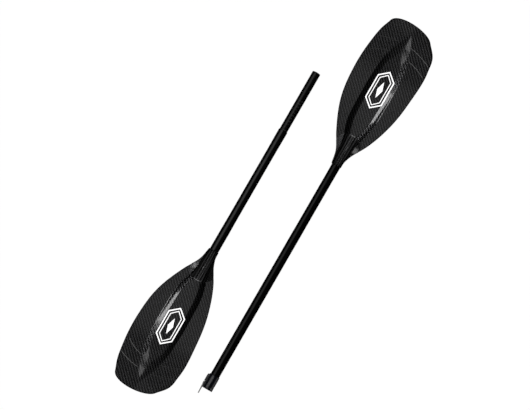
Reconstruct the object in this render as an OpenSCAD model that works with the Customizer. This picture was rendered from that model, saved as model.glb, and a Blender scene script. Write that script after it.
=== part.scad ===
// Two-piece carbon kayak paddle, laid out with its halves side by side.
// The right half ends in a socket with a lever clamp, and the left half ends in a spigot.
// Origin: centre of the socket mouth.  +X: along the right half to its blade tip.
// +Y: from the right half to the left half.  +Z: out of both power faces.

/* [Shaft] */
// Outer diameter of both shafts
shaft_d = 28.5; // [28.3:0.1:28.7]
// Outer diameter of the spigot
spigot_d = 25.4; // [25.2:0.1:25.5]
// Radial play between the spigot and its socket
spigot_play = 0.05; // [0.02:0.01:0.05]
// Wall thickness of the spigot tube
spigot_wall = 1.5; // [1.2:0.1:2]
// Shaft length of the right half, socket mouth to blade neck
right_shaft_len = 775; // [740:5:820]
// Shaft length of the left half, shoulder to blade neck
left_shaft_len = 415; // [400:5:460]
// Length of spigot that stands out of the left shaft
spigot_len = 202; // [180:1:215]

/* [Blade] */
// Blade length, neck to tip
blade_len = 483; // [470:1:495]
// Distance from the shaft axis to the long edge
long_side = 102; // [98:1:106]
// Distance from the shaft axis to the short edge
short_side = 97.5; // [94:0.5:100]
// Thickness of the blade at its edge
edge_t = 3.6; // [3.4:0.1:4.4]
// Thickness of each carbon skin
skin_t = 0.6; // [0.5:0.05:0.65]
// Height of the tip above the shaft axis
spoon_rise = 24; // [15:1:32]
// Height of the edges above the middle of the panel
cup_rise = 5; // [3:0.5:7]

/* [Clamp] */
// Length of the clamp collar
collar_len = 48.6; // [46:0.1:55]
// Outer diameter of the clamp collar
collar_d = 32.6; // [32.4:0.1:33.4]
// Width of the lever handle
lever_w = 10; // [8:0.5:10]
// Reach of the lever past the socket mouth
lever_reach = 22; // [16:1:30]

/* [Layout] */
// Distance between the two shaft axes
half_spacing = 190; // [180:5:260]
// Distance from the socket mouth to the left half's shoulder, along the shafts
shoulder_x = 787; // [780:1:800]

/* [Hidden] */
$fn = 64;

carbon = [0.07, 0.08, 0.09];
carbon_light = [0.14, 0.15, 0.17];
foam = [0.86, 0.80, 0.62];
collar_black = [0.10, 0.10, 0.14];
steel = [0.72, 0.72, 0.74];
rubber_black = [0.05, 0.05, 0.05];

slack = 0.1;
glue = 0.15;
seam = 0.05;

shaft_r = shaft_d / 2;
spigot_r = spigot_d / 2;
bore_r = spigot_r + spigot_play;
liner_r = bore_r - 0.25;
collar_r = collar_d / 2;
socket_depth = spigot_len + 38;
socket_x = 0.6;

// Blade stations, as fractions of its length
neck_r = shaft_r + 0.8;
tip_at = 0.948 * blade_len;
flare_len = 0.093 * blade_len;
crease_from = 0.124 * blade_len;
crease_len = 0.186 * blade_len;
align_by = crease_from + 10;
bend_from = 0.76 * blade_len;
valley_from = 0.80 * blade_len;
valley_len = 0.15 * blade_len;
roof_from = 0.70 * blade_len;
roof_len = 0.13 * blade_len;
tube_in_neck = 50;
rows = 26;
side_cols = 8;
wrap_rows = 4;
wrap_t = 0.6;
rim_w = 4.5;
rim_set_back = 0.3;
core_gap = 0.7;
core_tip_gap = 0.35;
// Spoon and cup start here, and the cup reaches its full depth over this length
spoon_from = 70;
cup_len = 150;
// The spine takes its own width over this length; its sides are this wide at most, its top
// is crowned by this share of its height, and it never sinks into the panels
spine_blend = 60;
flank_w = 18;
flank_share = 0.48;
crown = 0.1;
least_ridge = 0.01;
spine_shift = 1.3;
// Columns of points that run along the top and the foot of the spine's sides
top_col = 0.375;
foot_col = 0.625;
least_foot = 14;
// Mean half width of the tip, which scales the tip edge when it is inset
tip_half = 70;

// Half widths at stations along the blade: [distance from the neck, distance from the axis]
long_edge = [
    [0, neck_r + 0.75],
    [0.083 * blade_len, neck_r + 9.2],
    [0.186 * blade_len, 0.505 * long_side],
    [0.373 * blade_len, 0.870 * long_side],
    [0.580 * blade_len, long_side],
    [0.787 * blade_len, 0.952 * long_side],
    [0.890 * blade_len, 0.863 * long_side],
    [tip_at, 0.762 * long_side]
];
short_edge = [
    [0, neck_r],
    [0.037 * blade_len, neck_r + 0.6],
    [0.083 * blade_len, neck_r + 7.3],
    [0.186 * blade_len, 0.505 * short_side],
    [0.373 * blade_len, 0.830 * short_side],
    [0.580 * blade_len, 0.979 * short_side],
    [0.787 * blade_len, 0.992 * short_side],
    [0.890 * blade_len, 0.871 * short_side],
    [tip_at, 0.631 * short_side]
];
// The tip edge as one Bezier curve, from the long edge to the short edge
tip_edge = [
    [tip_at, 0.762 * long_side],
    [tip_at + 38, 0.762 * long_side - 7.5],
    [tip_at + 29.5, 19.6 - 0.631 * short_side],
    [tip_at, -0.631 * short_side]
];
// Half width of the raised spine, and how far its top and bottom stand off the panel's middle
spine_half = [
    [0, neck_r],
    [0.166 * blade_len, neck_r + 7],
    [0.300 * blade_len, 0.390 * long_side],
    [0.435 * blade_len, 0.424 * long_side],
    [0.580 * blade_len, 0.425 * long_side],
    [0.714 * blade_len, 0.380 * long_side],
    [0.828 * blade_len, 0.260 * long_side],
    [0.940 * blade_len, 1]
];
front_ridge = [
    [0, neck_r],
    [0.104 * blade_len, neck_r],
    [0.270 * blade_len, 13],
    [0.455 * blade_len, 11],
    [0.683 * blade_len, 8.3],
    [0.870 * blade_len, 5],
    [0.944 * blade_len, edge_t / 2 + 0.3],
    [blade_len, edge_t / 2 + 0.3]
];
back_ridge = [
    [0, neck_r],
    [0.104 * blade_len, neck_r],
    [0.270 * blade_len, 12.6],
    [0.455 * blade_len, 9.6],
    [0.683 * blade_len, 6.6],
    [0.870 * blade_len, 3.8],
    [0.944 * blade_len, edge_t / 2 + 0.3],
    [blade_len, edge_t / 2 + 0.3]
];

// Clamp geometry: the pin carries the lever, whose cam presses the shoe on the socket
pin_x = 19;
pin_y = 18.7;
pin_r = 1.25;
cam_r = 2.5;
cam_offset = 0.5;
cam_angle = 240;
cam_room = 4.2;
shoe_top = pin_y - cam_r + cam_offset * sin(cam_angle) - slack;
shoe_len = 28;
shoe_w = 7.6;
shoe_x = 12;
shoe_travel = 0.75;
screw_x = 36;
screw_r = 2;
lug_top = 21.4;
lug_len = 45;
lug_w = 17.2;
slot_w = lever_w + 0.4;
mark_count = 11;
mark_pitch = 10;
mark_y = 1.5;
mark_len = 3.6;
mark_w = 0.9;
mark_depth = 0.15;
first_mark = 3.4;
slit_angle = 50;
slit_w = 1.2;
slit_len = collar_len - 8;
rivet_play = 0.05;

// Slimmer stretch of each shaft, measured from its open end, and how much slimmer it is
right_grip = [585, 730];
right_grip_relief = 0.25;
left_grip = [70, 300];
left_grip_relief = 0.5;
bung_len = 30;
glue_line = 0.4;
cap_flange = 2;

// ---- Curves ----

function smooth(x) = let (c = min(max(x, 0), 1)) c * c * (3 - 2 * c);
function mix(a, b, k) = a + (b - a) * k;

// Slope of a curve at one of its points, from its neighbours
function chord(p, i) = (p[i + 1][1] - p[i][1]) / (p[i + 1][0] - p[i][0]);
function slope(p, i) =
    i == 0 ? chord(p, 0)
    : i == len(p) - 1 ? chord(p, i - 1)
    : let (before = p[i][0] - p[i - 1][0], after = p[i + 1][0] - p[i][0])
        (chord(p, i) * before + chord(p, i - 1) * after) / (before + after);

// Value at x of the smooth curve through the points p
function curve(p, x, i = 0) =
    i < len(p) - 2 && x > p[i + 1][0] ? curve(p, x, i + 1)
    : let (h = p[i + 1][0] - p[i][0], q = min(max((x - p[i][0]) / h, 0), 1))
        (2 * pow(q, 3) - 3 * pow(q, 2) + 1) * p[i][1]
        + (pow(q, 3) - 2 * pow(q, 2) + q) * h * slope(p, i)
        + (3 * pow(q, 2) - 2 * pow(q, 3)) * p[i + 1][1]
        + (pow(q, 3) - pow(q, 2)) * h * slope(p, i + 1);

function bezier(p, q) =
    pow(1 - q, 3) * p[0] + 3 * pow(1 - q, 2) * q * p[1]
    + 3 * (1 - q) * pow(q, 2) * p[2] + pow(q, 3) * p[3];

// ---- Blade shape, in its own frame: x from the neck to the tip ----

// How far the round neck has opened into flat panels, how far its spine has got creases,
// and how far the columns of points have moved onto those creases
function opened(t) = smooth(t / flare_len);
function creased(t) = smooth((t - crease_from) / crease_len);
function aligned(t) = smooth((t - flare_len) / (align_by - flare_len));
function bent(t) = smooth((t - bend_from) / (tip_at - bend_from));

function edge_at(t, side) = curve(side > 0 ? long_edge : short_edge, t);
function spine_at(t, side) =
    mix(edge_at(t, side), curve(spine_half, t) + side * spine_shift * creased(t), smooth(t / spine_blend));

// The middle surface of the panels: spooned along the blade and cupped across it, with the
// cup folding into a shallow valley near the tip
function panel_z(t, y) =
    let (fold = smooth((t - valley_from) / valley_len))
    spoon_rise * pow(max(0, (t - spoon_from) / (blade_len - spoon_from)), 2)
    + cup_rise * pow(abs(y) / long_side, mix(2, 1.2, fold)) * smooth((t - spoon_from) / cup_len);

// How far the spine's flat top has closed up into a roof, towards the tip
function roofed(t) = smooth((t - roof_from) / roof_len);

// Share of the ridge's height at y: a round neck that turns into a flat-topped ridge
function ridge_share(t, y, inset) =
    let (
        foot = spine_at(t, sign(y) == 0 ? 1 : sign(y)) - inset * (1 - creased(t)),
        q = min(abs(y) / max(foot, 0.1), 1),
        flank = mix(min(flank_w, flank_share * foot), foot, roofed(t)),
        ramp = min(max((foot - abs(y)) / max(flank, 0.1), 0), 1)
    )
    mix(sqrt(1 - q * q), mix(ramp, 1 - q * q, crown), creased(t));

// Height of the front or back surface, moved inwards by inset
function half_edge(t, inset) = seam + (edge_t / 2 - inset - seam) * opened(t);
function face_z(t, y, inset, face) =
    let (
        ridge = curve(face > 0 ? front_ridge : back_ridge, t) - inset,
        flat = half_edge(t, inset)
    )
    panel_z(t, y) + face * (flat + max(ridge - flat, least_ridge) * ridge_share(t, y, inset));

// Distance from the axis of the column at u, where u runs from -1 to 1 across the blade
function column_y(u, t, inset) =
    let (
        side = u < 0 ? -1 : 1,
        a = abs(u),
        edge = edge_at(t, side) - inset,
        foot = max(spine_at(t, side), least_foot),
        top = foot - min(flank_w, flank_share * foot),
        panel = a < top_col ? top * a / top_col
            : a < foot_col ? mix(top, foot, (a - top_col) / (foot_col - top_col))
            : mix(foot, edge, (a - foot_col) / (1 - foot_col))
    )
    side * mix(edge * sin(90 * a), panel, aligned(t));

// Point of the blade's plan: straight rows that bend to follow the tip edge
function plan(u, t, inset) =
    let (
        bend = bent(t),
        tip = bezier(tip_edge, (1 - u) / 2),
        shrink = 1 - inset / blade_len
    )
    [
        (t + bend * (tip[0] - tip_at)) * shrink,
        column_y(u, t, inset) + bend * (tip[1] * (1 - inset / tip_half) - column_y(u, tip_at, inset))
    ];

function blade_point(u, t, plan_inset, inset, face) =
    let (p = plan(u, t, plan_inset)) [p[0], p[1], face_z(p[0], p[1], inset, face)];

function row_t(j) = tip_at * j / rows;
function col_u(i) = i / side_cols - 1;

// One row of points across a surface
function skin_row(j, inset, face) =
    let (side_inset = inset * (1 - opened(row_t(j))))
    [for (i = [0:2 * side_cols]) blade_point(col_u(i), row_t(j), side_inset, inset, face)];
function inner_row(j, side_inset, inset, face) =
    [for (i = [0:2 * side_cols]) blade_point(col_u(i), row_t(j), side_inset, inset, face)];

// ---- Solids from rows of points ----

// Two triangles for each cell of a grid whose rows hold n points
function grid_faces(row_count, n, first, flip) = [
    for (j = [0:row_count - 2], i = [0:n - 2])
        let (a = first + j * n + i, b = a + 1, c = a + n, d = c + 1)
        each flip ? [[a, b, d], [a, d, c]] : [[a, d, b], [a, c, d]]
];

// Closed solid between an upper and a lower grid of points of the same size
module sheet(upper, lower) {
    row_count = len(upper);
    n = len(upper[0]);
    total = row_count * n;
    points = concat([for (r = upper) each r], [for (r = lower) each r]);
    ring = concat(
        [for (i = [0:n - 1]) i],
        [for (j = [1:row_count - 1]) j * n + n - 1],
        [for (i = [1:n - 1]) total - 1 - i],
        [for (j = [1:row_count - 2]) total - n - j * n]
    );
    m = len(ring);
    walls = [
        for (k = [0:m - 1])
            let (a = ring[k], b = ring[(k + 1) % m])
            each [[a, b, b + total], [a, b + total, a + total]]
    ];
    faces = concat(grid_faces(row_count, n, 0, false), grid_faces(row_count, n, total, true), walls);
    polyhedron(points, faces, convexity = 6);
}

// Closed bar through rings of points, each ring with the same number of points
module bar(rings) {
    n = len(rings[0]);
    last = len(rings) - 1;
    points = [for (r = rings) each r];
    sides = [
        for (j = [0:last - 1], i = [0:n - 1])
            let (a = j * n + i, b = j * n + (i + 1) % n, c = a + n, d = b + n)
            each [[a, b, d], [a, d, c]]
    ];
    start = [for (i = [1:n - 2]) [0, i + 1, i]];
    end = [for (i = [1:n - 2]) [last * n, last * n + i, last * n + i + 1]];
    polyhedron(points, concat(sides, start, end), convexity = 6);
}

// Closed sleeve between an outer and an inner row of rings; the second half of each ring
// runs back under the first, so its cells are split along the other diagonal
module sleeve(outer, inner) {
    n = len(outer[0]);
    count = len(outer);
    total = n * count;
    points = concat([for (r = outer) each r], [for (r = inner) each r]);
    walls = [
        for (j = [0:count - 2], i = [0:n - 1])
            let (a = j * n + i, b = j * n + (i + 1) % n, c = a + n, d = b + n)
            each i < n / 2
                ? [
                    [a, b, d], [a, d, c],
                    [a + total, d + total, b + total], [a + total, c + total, d + total]
                ]
                : [
                    [a, b, c], [b, d, c],
                    [a + total, c + total, b + total], [b + total, c + total, d + total]
                ]
    ];
    caps = [
        for (i = [0:n - 1])
            let (k = (i + 1) % n, e = total - n)
            each [
                [i, i + total, k + total], [i, k + total, k],
                [e + i, e + k, e + k + total], [e + i, e + k + total, e + i + total]
            ]
    ];
    polyhedron(points, concat(walls, caps), convexity = 6);
}

module along_x(x = 0) {
    translate([x, 0, 0]) rotate([0, 90, 0]) children();
}

module tube(x, length, outer_r, inner_r) {
    along_x(x) difference() {
        cylinder(h = length, r = outer_r);
        translate([0, 0, -1]) cylinder(h = length + 2, r = inner_r);
    }
}

// ---- Pieces that both halves have ----

module blade_skin(face) {
    outer = [for (j = [0:rows]) skin_row(j, 0, face)];
    inner = [for (j = [0:rows]) skin_row(j, skin_t, face)];
    if (face > 0) sheet(outer, inner);
    else sheet(inner, outer);
}

// A row of points with its two ends cut back, to stay clear of the rim
function cut_row(row, cut) =
    let (
        last = len(row) - 1,
        low = cut / norm(row[1] - row[0]),
        high = cut / norm(row[last] - row[last - 1])
    )
    concat(
        [mix(row[0], row[1], low)],
        [for (i = [1:last - 1]) row[i]],
        [mix(row[last], row[last - 1], high)]
    );

// One face of the core: the skin's own inner face, moved in by the glue line; where the rows
// bend to the tip, it takes the outline of the rim's inner edge instead
function core_row(j, face) =
    let (
        t = row_t(j),
        cut = rim_w + core_gap,
        own = inner_row(j, cut, skin_t + core_tip_gap, face)
    )
    bent(t) > 0 ? own : cut_row(skin_row(j, skin_t, face), cut);

function core_face(face) = [
    for (j = [wrap_rows:rows]) [for (p = core_row(j, face)) p - [0, 0, face * glue]]
];

module blade_core() {
    sheet(core_face(1), core_face(-1));
}

// Edge strip between the skins: down the long edge, round the tip and up the short edge
module blade_rim() {
    gap = skin_t + glue;
    path = concat(
        [for (j = [wrap_rows:rows]) [1, row_t(j)]],
        [for (i = [1:2 * side_cols - 1]) [-col_u(i), tip_at]],
        [for (j = [0:rows - wrap_rows]) [-1, row_t(rows - j)]]
    );
    bar([
        for (s = path) [
            blade_point(s[0], s[1], rim_set_back, gap, 1),
            blade_point(s[0], s[1], rim_w, gap, 1),
            blade_point(s[0], s[1], rim_w, gap, -1),
            blade_point(s[0], s[1], rim_set_back, gap, -1)
        ]
    ]);
}

function wrap_ring(j, out) = concat(
    inner_row(j, -out, -out, 1),
    [for (i = [2 * side_cols:-1:0]) blade_point(col_u(i), row_t(j), -out, -out, -1)]
);

module neck_wrap() {
    sleeve(
        [for (j = [0:wrap_rows]) wrap_ring(j, slack + wrap_t)],
        [for (j = [0:wrap_rows]) wrap_ring(j, slack)]
    );
}

// Tube that is slightly slimmer between two stations, where the hand holds it
module shaft_tube(length, grip, grip_r, inner_r) {
    ease = 24;
    along_x() rotate_extrude() polygon([
        [inner_r, 0], [shaft_r, 0],
        [shaft_r, grip[0] - ease], [grip_r, grip[0]],
        [grip_r, grip[1]], [shaft_r, grip[1] + ease],
        [shaft_r, length], [inner_r, length]
    ]);
}

module foam_bung(x, length, r) {
    bevel = 1.5;
    along_x(x) rotate_extrude() polygon([
        [0, 0], [r - bevel, 0], [r, bevel],
        [r, length - bevel], [r - bevel, length], [0, length]
    ]);
}

module place_right_blade() {
    translate([right_shaft_len, 0, 0]) children();
}

// The left half is the right half's mirror image along the shaft
module place_left() {
    translate([shoulder_x, half_spacing, 0]) mirror([1, 0, 0]) children();
}

module place_left_blade() {
    place_left() translate([left_shaft_len, 0, 0]) children();
}

// ---- Right half ----

module right_blade_front_skin() {
    color(carbon) place_right_blade() blade_skin(1);
}

module right_blade_back_skin() {
    color(carbon) place_right_blade() blade_skin(-1);
}

module right_blade_core() {
    color(foam) place_right_blade() blade_core();
}

module right_blade_rim() {
    color(carbon_light) place_right_blade() blade_rim();
}

module right_neck_wrap() {
    color(carbon_light) place_right_blade() neck_wrap();
}

// The socket end is reamed for the spigot, and two slits free a tongue under the shoe
module right_shaft() {
    length = right_shaft_len + tube_in_neck - socket_x;
    color(carbon) difference() {
        translate([socket_x, 0, 0])
            shaft_tube(length, right_grip, shaft_r - right_grip_relief, liner_r);
        along_x() cylinder(h = socket_depth, r = bore_r);
        for (side = [-1, 1]) rotate([side * slit_angle, 0, 0])
            translate([-1, spigot_r - 2, -slit_w / 2]) cube([slit_len + 1, 6, slit_w]);
        for (side = [-1, 1]) collar_rivet(side, rivet_play);
    }
}

module right_shaft_bung() {
    color(foam) foam_bung(right_shaft_len - 40, bung_len, liner_r - slack);
}

// ---- Clamp ----

module lug_profile() {
    corner = 4;
    nose_top = 17;
    union() {
        polygon([
            [0, 0], [0, nose_top], [8, nose_top + 0.6], [11, lug_top],
            [lug_len - corner, lug_top], [lug_len, lug_top - corner], [lug_len, 0]
        ]);
        translate([lug_len - corner, lug_top - corner]) circle(r = corner);
    }
}

module clamp_collar() {
    chamfer = 1.2;
    color(collar_black) difference() {
        union() {
            along_x() rotate_extrude() polygon([
                [0, 0], [collar_r - chamfer / 2, 0], [collar_r, chamfer / 2],
                [collar_r, collar_len - chamfer], [collar_r - chamfer, collar_len], [0, collar_len]
            ]);
            translate([0, 0, -lug_w / 2]) linear_extrude(lug_w) lug_profile();
        }
        along_x(-1) cylinder(h = collar_len + 2, r = shaft_r + seam);
        // Slot for the lever, and the pocket that guides the shoe
        translate([-1, collar_r + 0.3, -slot_w / 2]) cube([pin_x + cam_room + 1, lug_top, slot_w]);
        translate([shoe_x - slack, 0, -shoe_w / 2 - slack])
            cube([shoe_len + 2 * slack, shoe_top + shoe_travel + slack, shoe_w + 2 * slack]);
        translate([pin_x - cam_room, shoe_top - slack, -slot_w / 2])
            cube([2 * cam_room, lug_top, slot_w]);
        translate([pin_x, pin_y, -lug_w]) cylinder(h = 2 * lug_w, r = pin_r + 0.02);
        translate([screw_x, 0, 0]) rotate([-90, 0, 0]) cylinder(h = 30, r = screw_r + 0.05);
        for (side = [-1, 1]) collar_rivet(side, rivet_play);
    }
}

module lever_profile() {
    root = [pin_x - 8, pin_y + 0.6];
    root_half = 2.4;
    tip_r = 1.6;
    tip = [tip_r - lever_reach, pin_y - 0.65];
    union() {
        translate([pin_x, pin_y] + cam_offset * [cos(cam_angle), sin(cam_angle)]) circle(r = cam_r);
        translate([pin_x, pin_y]) circle(r = cam_r - 0.3);
        polygon([
            [pin_x, pin_y - 1.2], [pin_x, pin_y + cam_r + 0.2],
            root + [0, root_half], tip + [0, tip_r],
            tip - [0, tip_r], root - [0, root_half]
        ]);
        translate(tip) circle(r = tip_r);
    }
}

module clamp_lever() {
    color(steel) difference() {
        translate([0, 0, -lever_w / 2]) linear_extrude(lever_w) lever_profile();
        translate([pin_x, pin_y, -lever_w]) cylinder(h = 2 * lever_w, r = pin_r + 0.05);
    }
}

module lever_pin() {
    length = lug_w - 0.4;
    color(steel) translate([pin_x, pin_y, -length / 2]) cylinder(h = length, r = pin_r);
}

// Saddle under the cam: flat on top and hollow below, to sit on the socket
module pressure_shoe() {
    color(steel) difference() {
        translate([shoe_x, 0, -shoe_w / 2]) cube([shoe_len, shoe_top, shoe_w]);
        along_x(-1) cylinder(h = 2 * collar_len, r = shaft_r + seam);
    }
}

// Grub screw that presets the shoe, with a hexagon socket
module tension_screw() {
    bottom = shoe_top + shoe_travel + slack;
    top = lug_top - 0.3;
    key_r = 1.15;
    key_depth = 1.7;
    color(steel) translate([screw_x, 0, 0]) rotate([-90, 0, 0]) difference() {
        translate([0, 0, bottom]) cylinder(h = top - bottom, r = screw_r);
        translate([0, 0, top - key_depth]) cylinder(h = key_depth + 1, r = key_r, $fn = 6);
    }
}

module collar_rivet(side, extra) {
    rivet_x = 7;
    rivet_angle = 121.8;
    rivet_r = 1.5;
    foot = bore_r + 0.3;
    rotate([side * rivet_angle, 0, 0]) translate([rivet_x, 0, 0]) rotate([-90, 0, 0])
        translate([0, 0, foot - extra]) cylinder(h = collar_r - bore_r + extra, r = rivet_r + extra);
}

module collar_rivets() {
    color(steel) {
        collar_rivet(-1, 0);
        collar_rivet(1, 0);
    }
}

// ---- Left half ----

module left_blade_front_skin() {
    color(carbon) place_left_blade() blade_skin(1);
}

module left_blade_back_skin() {
    color(carbon) place_left_blade() blade_skin(-1);
}

module left_blade_core() {
    color(foam) place_left_blade() blade_core();
}

module left_blade_rim() {
    color(carbon_light) place_left_blade() blade_rim();
}

module left_neck_wrap() {
    color(carbon_light) place_left_blade() neck_wrap();
}

module left_shaft() {
    color(carbon) place_left()
        shaft_tube(left_shaft_len + tube_in_neck, left_grip, shaft_r - left_grip_relief, bore_r);
}

module left_shaft_bung() {
    color(foam) place_left() foam_bung(left_shaft_len - 10, bung_len, bore_r - glue_line);
}

// One printed dash of the length scale, on the power-face side of the spigot
module scale_dash(k, inner_r, outer_r, extra) {
    x = -first_mark - k * mark_pitch;
    intersection() {
        tube(x - mark_w, 3 * mark_w, outer_r, inner_r);
        translate([x - extra, mark_y - mark_len / 2 - extra, 0])
            cube([mark_w + 2 * extra, mark_len + 2 * extra, spigot_r + 1]);
    }
}

// The exposed length fits the socket; the rest is glued inside the shaft
module spigot_tube() {
    glued = 80;
    shown = spigot_len - cap_flange;
    color(carbon_light) place_left() difference() {
        union() {
            tube(-shown, shown, spigot_r, spigot_r - spigot_wall);
            tube(-1, glued + 1, spigot_r - glue_line, spigot_r - spigot_wall);
        }
        for (k = [0:mark_count - 1])
            scale_dash(k, spigot_r - mark_depth, spigot_r + 1, 0.02);
    }
}

module spigot_scale() {
    color("white") place_left()
        for (k = [0:mark_count - 1])
            scale_dash(k, spigot_r - mark_depth + 0.01, spigot_r - 0.01, 0);
}

module spigot_end_cap() {
    plug = 12;
    dome = 1.8;
    outer = spigot_r - 0.5;
    inner = spigot_r - spigot_wall - seam;
    end = cap_flange + plug;
    dome_r = (outer * outer + dome * dome) / (2 * dome);
    dome_angle = asin(outer / dome_r);
    steps = 6;
    color(rubber_black) place_left() along_x(-spigot_len) rotate_extrude() polygon(concat(
        [for (k = [0:steps]) dome_r * [sin(k * dome_angle / steps), 1 - cos(k * dome_angle / steps)]],
        [
            [outer, cap_flange], [inner, cap_flange],
            [inner, end - 1], [inner - 1, end], [0, end]
        ]
    ));
}

module spigot_bung() {
    length = 25;
    color(foam) place_left()
        foam_bung(20 - spigot_len, length, spigot_r - spigot_wall - 2 * glue);
}

right_blade_front_skin();
right_blade_back_skin();
right_blade_core();
right_blade_rim();
right_neck_wrap();
right_shaft();
right_shaft_bung();
clamp_collar();
clamp_lever();
lever_pin();
pressure_shoe();
tension_screw();
collar_rivets();
left_blade_front_skin();
left_blade_back_skin();
left_blade_core();
left_blade_rim();
left_neck_wrap();
left_shaft();
left_shaft_bung();
spigot_tube();
spigot_scale();
spigot_end_cap();
spigot_bung();
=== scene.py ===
"""Looks of a two-piece carbon kayak paddle, laid out with its halves side by side.

The CAD row's frame: +X along both shafts towards the right half's blade tip, +Y from the right
half to the left half, +Z out of the power faces.  Lengths are in metres.
"""

import math

import bmesh
import bpy
import numpy as np
from mathutils import Euler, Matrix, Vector


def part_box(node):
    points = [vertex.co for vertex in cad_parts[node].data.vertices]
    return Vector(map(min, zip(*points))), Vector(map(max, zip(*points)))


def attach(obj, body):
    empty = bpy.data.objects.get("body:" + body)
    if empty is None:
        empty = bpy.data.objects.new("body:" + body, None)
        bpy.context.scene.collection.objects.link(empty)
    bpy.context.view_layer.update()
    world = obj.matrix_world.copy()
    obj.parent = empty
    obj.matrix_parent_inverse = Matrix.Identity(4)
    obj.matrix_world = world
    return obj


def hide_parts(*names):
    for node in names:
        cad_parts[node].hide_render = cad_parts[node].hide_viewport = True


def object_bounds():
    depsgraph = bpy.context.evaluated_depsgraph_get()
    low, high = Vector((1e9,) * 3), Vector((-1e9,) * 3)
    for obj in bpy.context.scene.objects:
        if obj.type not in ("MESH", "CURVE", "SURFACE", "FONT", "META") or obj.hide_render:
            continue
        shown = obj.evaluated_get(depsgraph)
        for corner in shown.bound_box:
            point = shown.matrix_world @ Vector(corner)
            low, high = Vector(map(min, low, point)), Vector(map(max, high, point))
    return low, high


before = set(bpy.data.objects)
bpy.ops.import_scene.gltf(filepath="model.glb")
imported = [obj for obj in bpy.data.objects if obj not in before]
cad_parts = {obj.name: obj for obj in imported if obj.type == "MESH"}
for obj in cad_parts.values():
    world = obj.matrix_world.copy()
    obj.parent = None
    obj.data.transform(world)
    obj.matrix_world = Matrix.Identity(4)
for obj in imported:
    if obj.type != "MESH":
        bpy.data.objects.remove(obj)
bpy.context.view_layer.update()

MM = 0.001
RIGHT_BODY = "right_half"
LEFT_BODY = "left_half"


# ---------------------------------------------------------------- driving sizes, from the frame


def middle(node):
    low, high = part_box(node)
    return (low + high) / 2


SHAFT_R = (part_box("right_shaft")[1].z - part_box("right_shaft")[0].z) / 2
SPIGOT_R = (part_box("spigot_tube")[1].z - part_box("spigot_tube")[0].z) / 2
BORE_R = SPIGOT_R + 0.05 * MM
NECK_R = SHAFT_R + 0.8 * MM
AXIS_LEFT = middle("left_shaft").y
SKIN_LOW, SKIN_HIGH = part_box("right_blade_front_skin")
BLADE_LEN = SKIN_HIGH.x - SKIN_LOW.x
LONG_SIDE = SKIN_HIGH.y
SHORT_SIDE = -SKIN_LOW.y
EDGE_T = 3.6 * MM
SKIN_T = 0.6 * MM
SPOON_RISE = 24 * MM
CUP_RISE = 5 * MM

# Fractions of the blade's length
TIP_AT = 0.948
FLARE = 0.093
CREASE_FROM = 0.124
CREASE_LEN = 0.186
BEND_FROM = 0.76
SPOON_FROM = 0.145
VALLEY_FROM = 0.80
VALLEY_LEN = 0.15
ROOF_FROM = 0.70
ROOF_LEN = 0.13

# Outline: fraction of the length, half width
LONG_EDGE = [
    (0, NECK_R + 0.75 * MM),
    (0.083, NECK_R + 9.2 * MM),
    (0.186, 0.505 * LONG_SIDE),
    (0.373, 0.870 * LONG_SIDE),
    (0.580, LONG_SIDE),
    (0.787, 0.952 * LONG_SIDE),
    (0.890, 0.863 * LONG_SIDE),
    (TIP_AT, 0.762 * LONG_SIDE),
]
SHORT_EDGE = [
    (0, NECK_R),
    (0.037, NECK_R + 0.6 * MM),
    (0.083, NECK_R + 7.3 * MM),
    (0.186, 0.505 * SHORT_SIDE),
    (0.373, 0.830 * SHORT_SIDE),
    (0.580, 0.979 * SHORT_SIDE),
    (0.787, 0.992 * SHORT_SIDE),
    (0.890, 0.871 * SHORT_SIDE),
    (TIP_AT, 0.631 * SHORT_SIDE),
]
# The tip edge as one Bezier curve from the long edge to the short edge: (x past TIP_AT, y)
TIP_EDGE = [
    (0, 0.762 * LONG_SIDE),
    (38 * MM, 0.762 * LONG_SIDE - 7.5 * MM),
    (29.5 * MM, 19.6 * MM - 0.631 * SHORT_SIDE),
    (0, -0.631 * SHORT_SIDE),
]
# Raised spine: half width, and height over the panels on the two faces
SPINE_HALF = [
    (0, NECK_R),
    (0.166, NECK_R + 7 * MM),
    (0.300, 0.390 * LONG_SIDE),
    (0.435, 0.424 * LONG_SIDE),
    (0.580, 0.425 * LONG_SIDE),
    (0.714, 0.380 * LONG_SIDE),
    (0.828, 0.260 * LONG_SIDE),
    (0.940, 1 * MM),
]
FRONT_RIDGE = [
    (0, NECK_R),
    (0.104, NECK_R),
    (0.270, 13 * MM),
    (0.455, 11 * MM),
    (0.683, 8.3 * MM),
    (0.870, 5 * MM),
    (0.944, EDGE_T / 2 + 0.1 * MM),
    (1, EDGE_T / 2),
]
BACK_RIDGE = [
    (0, NECK_R),
    (0.104, NECK_R),
    (0.270, 12.6 * MM),
    (0.455, 9.6 * MM),
    (0.683, 6.6 * MM),
    (0.870, 3.8 * MM),
    (0.944, EDGE_T / 2 + 0.1 * MM),
    (1, EDGE_T / 2),
]
SPINE_SHIFT = 1.3 * MM
SPINE_BLEND = 60 * MM
FLANK = 18 * MM
FLANK_SHARE = 0.48
CROWN = 0.1
SEAM = 0.05 * MM


# ---------------------------------------------------------------- curves


def smooth(x):
    c = np.clip(x, 0, 1)
    return c * c * (3 - 2 * c)


def mix(a, b, k):
    return a + (b - a) * k


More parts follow.
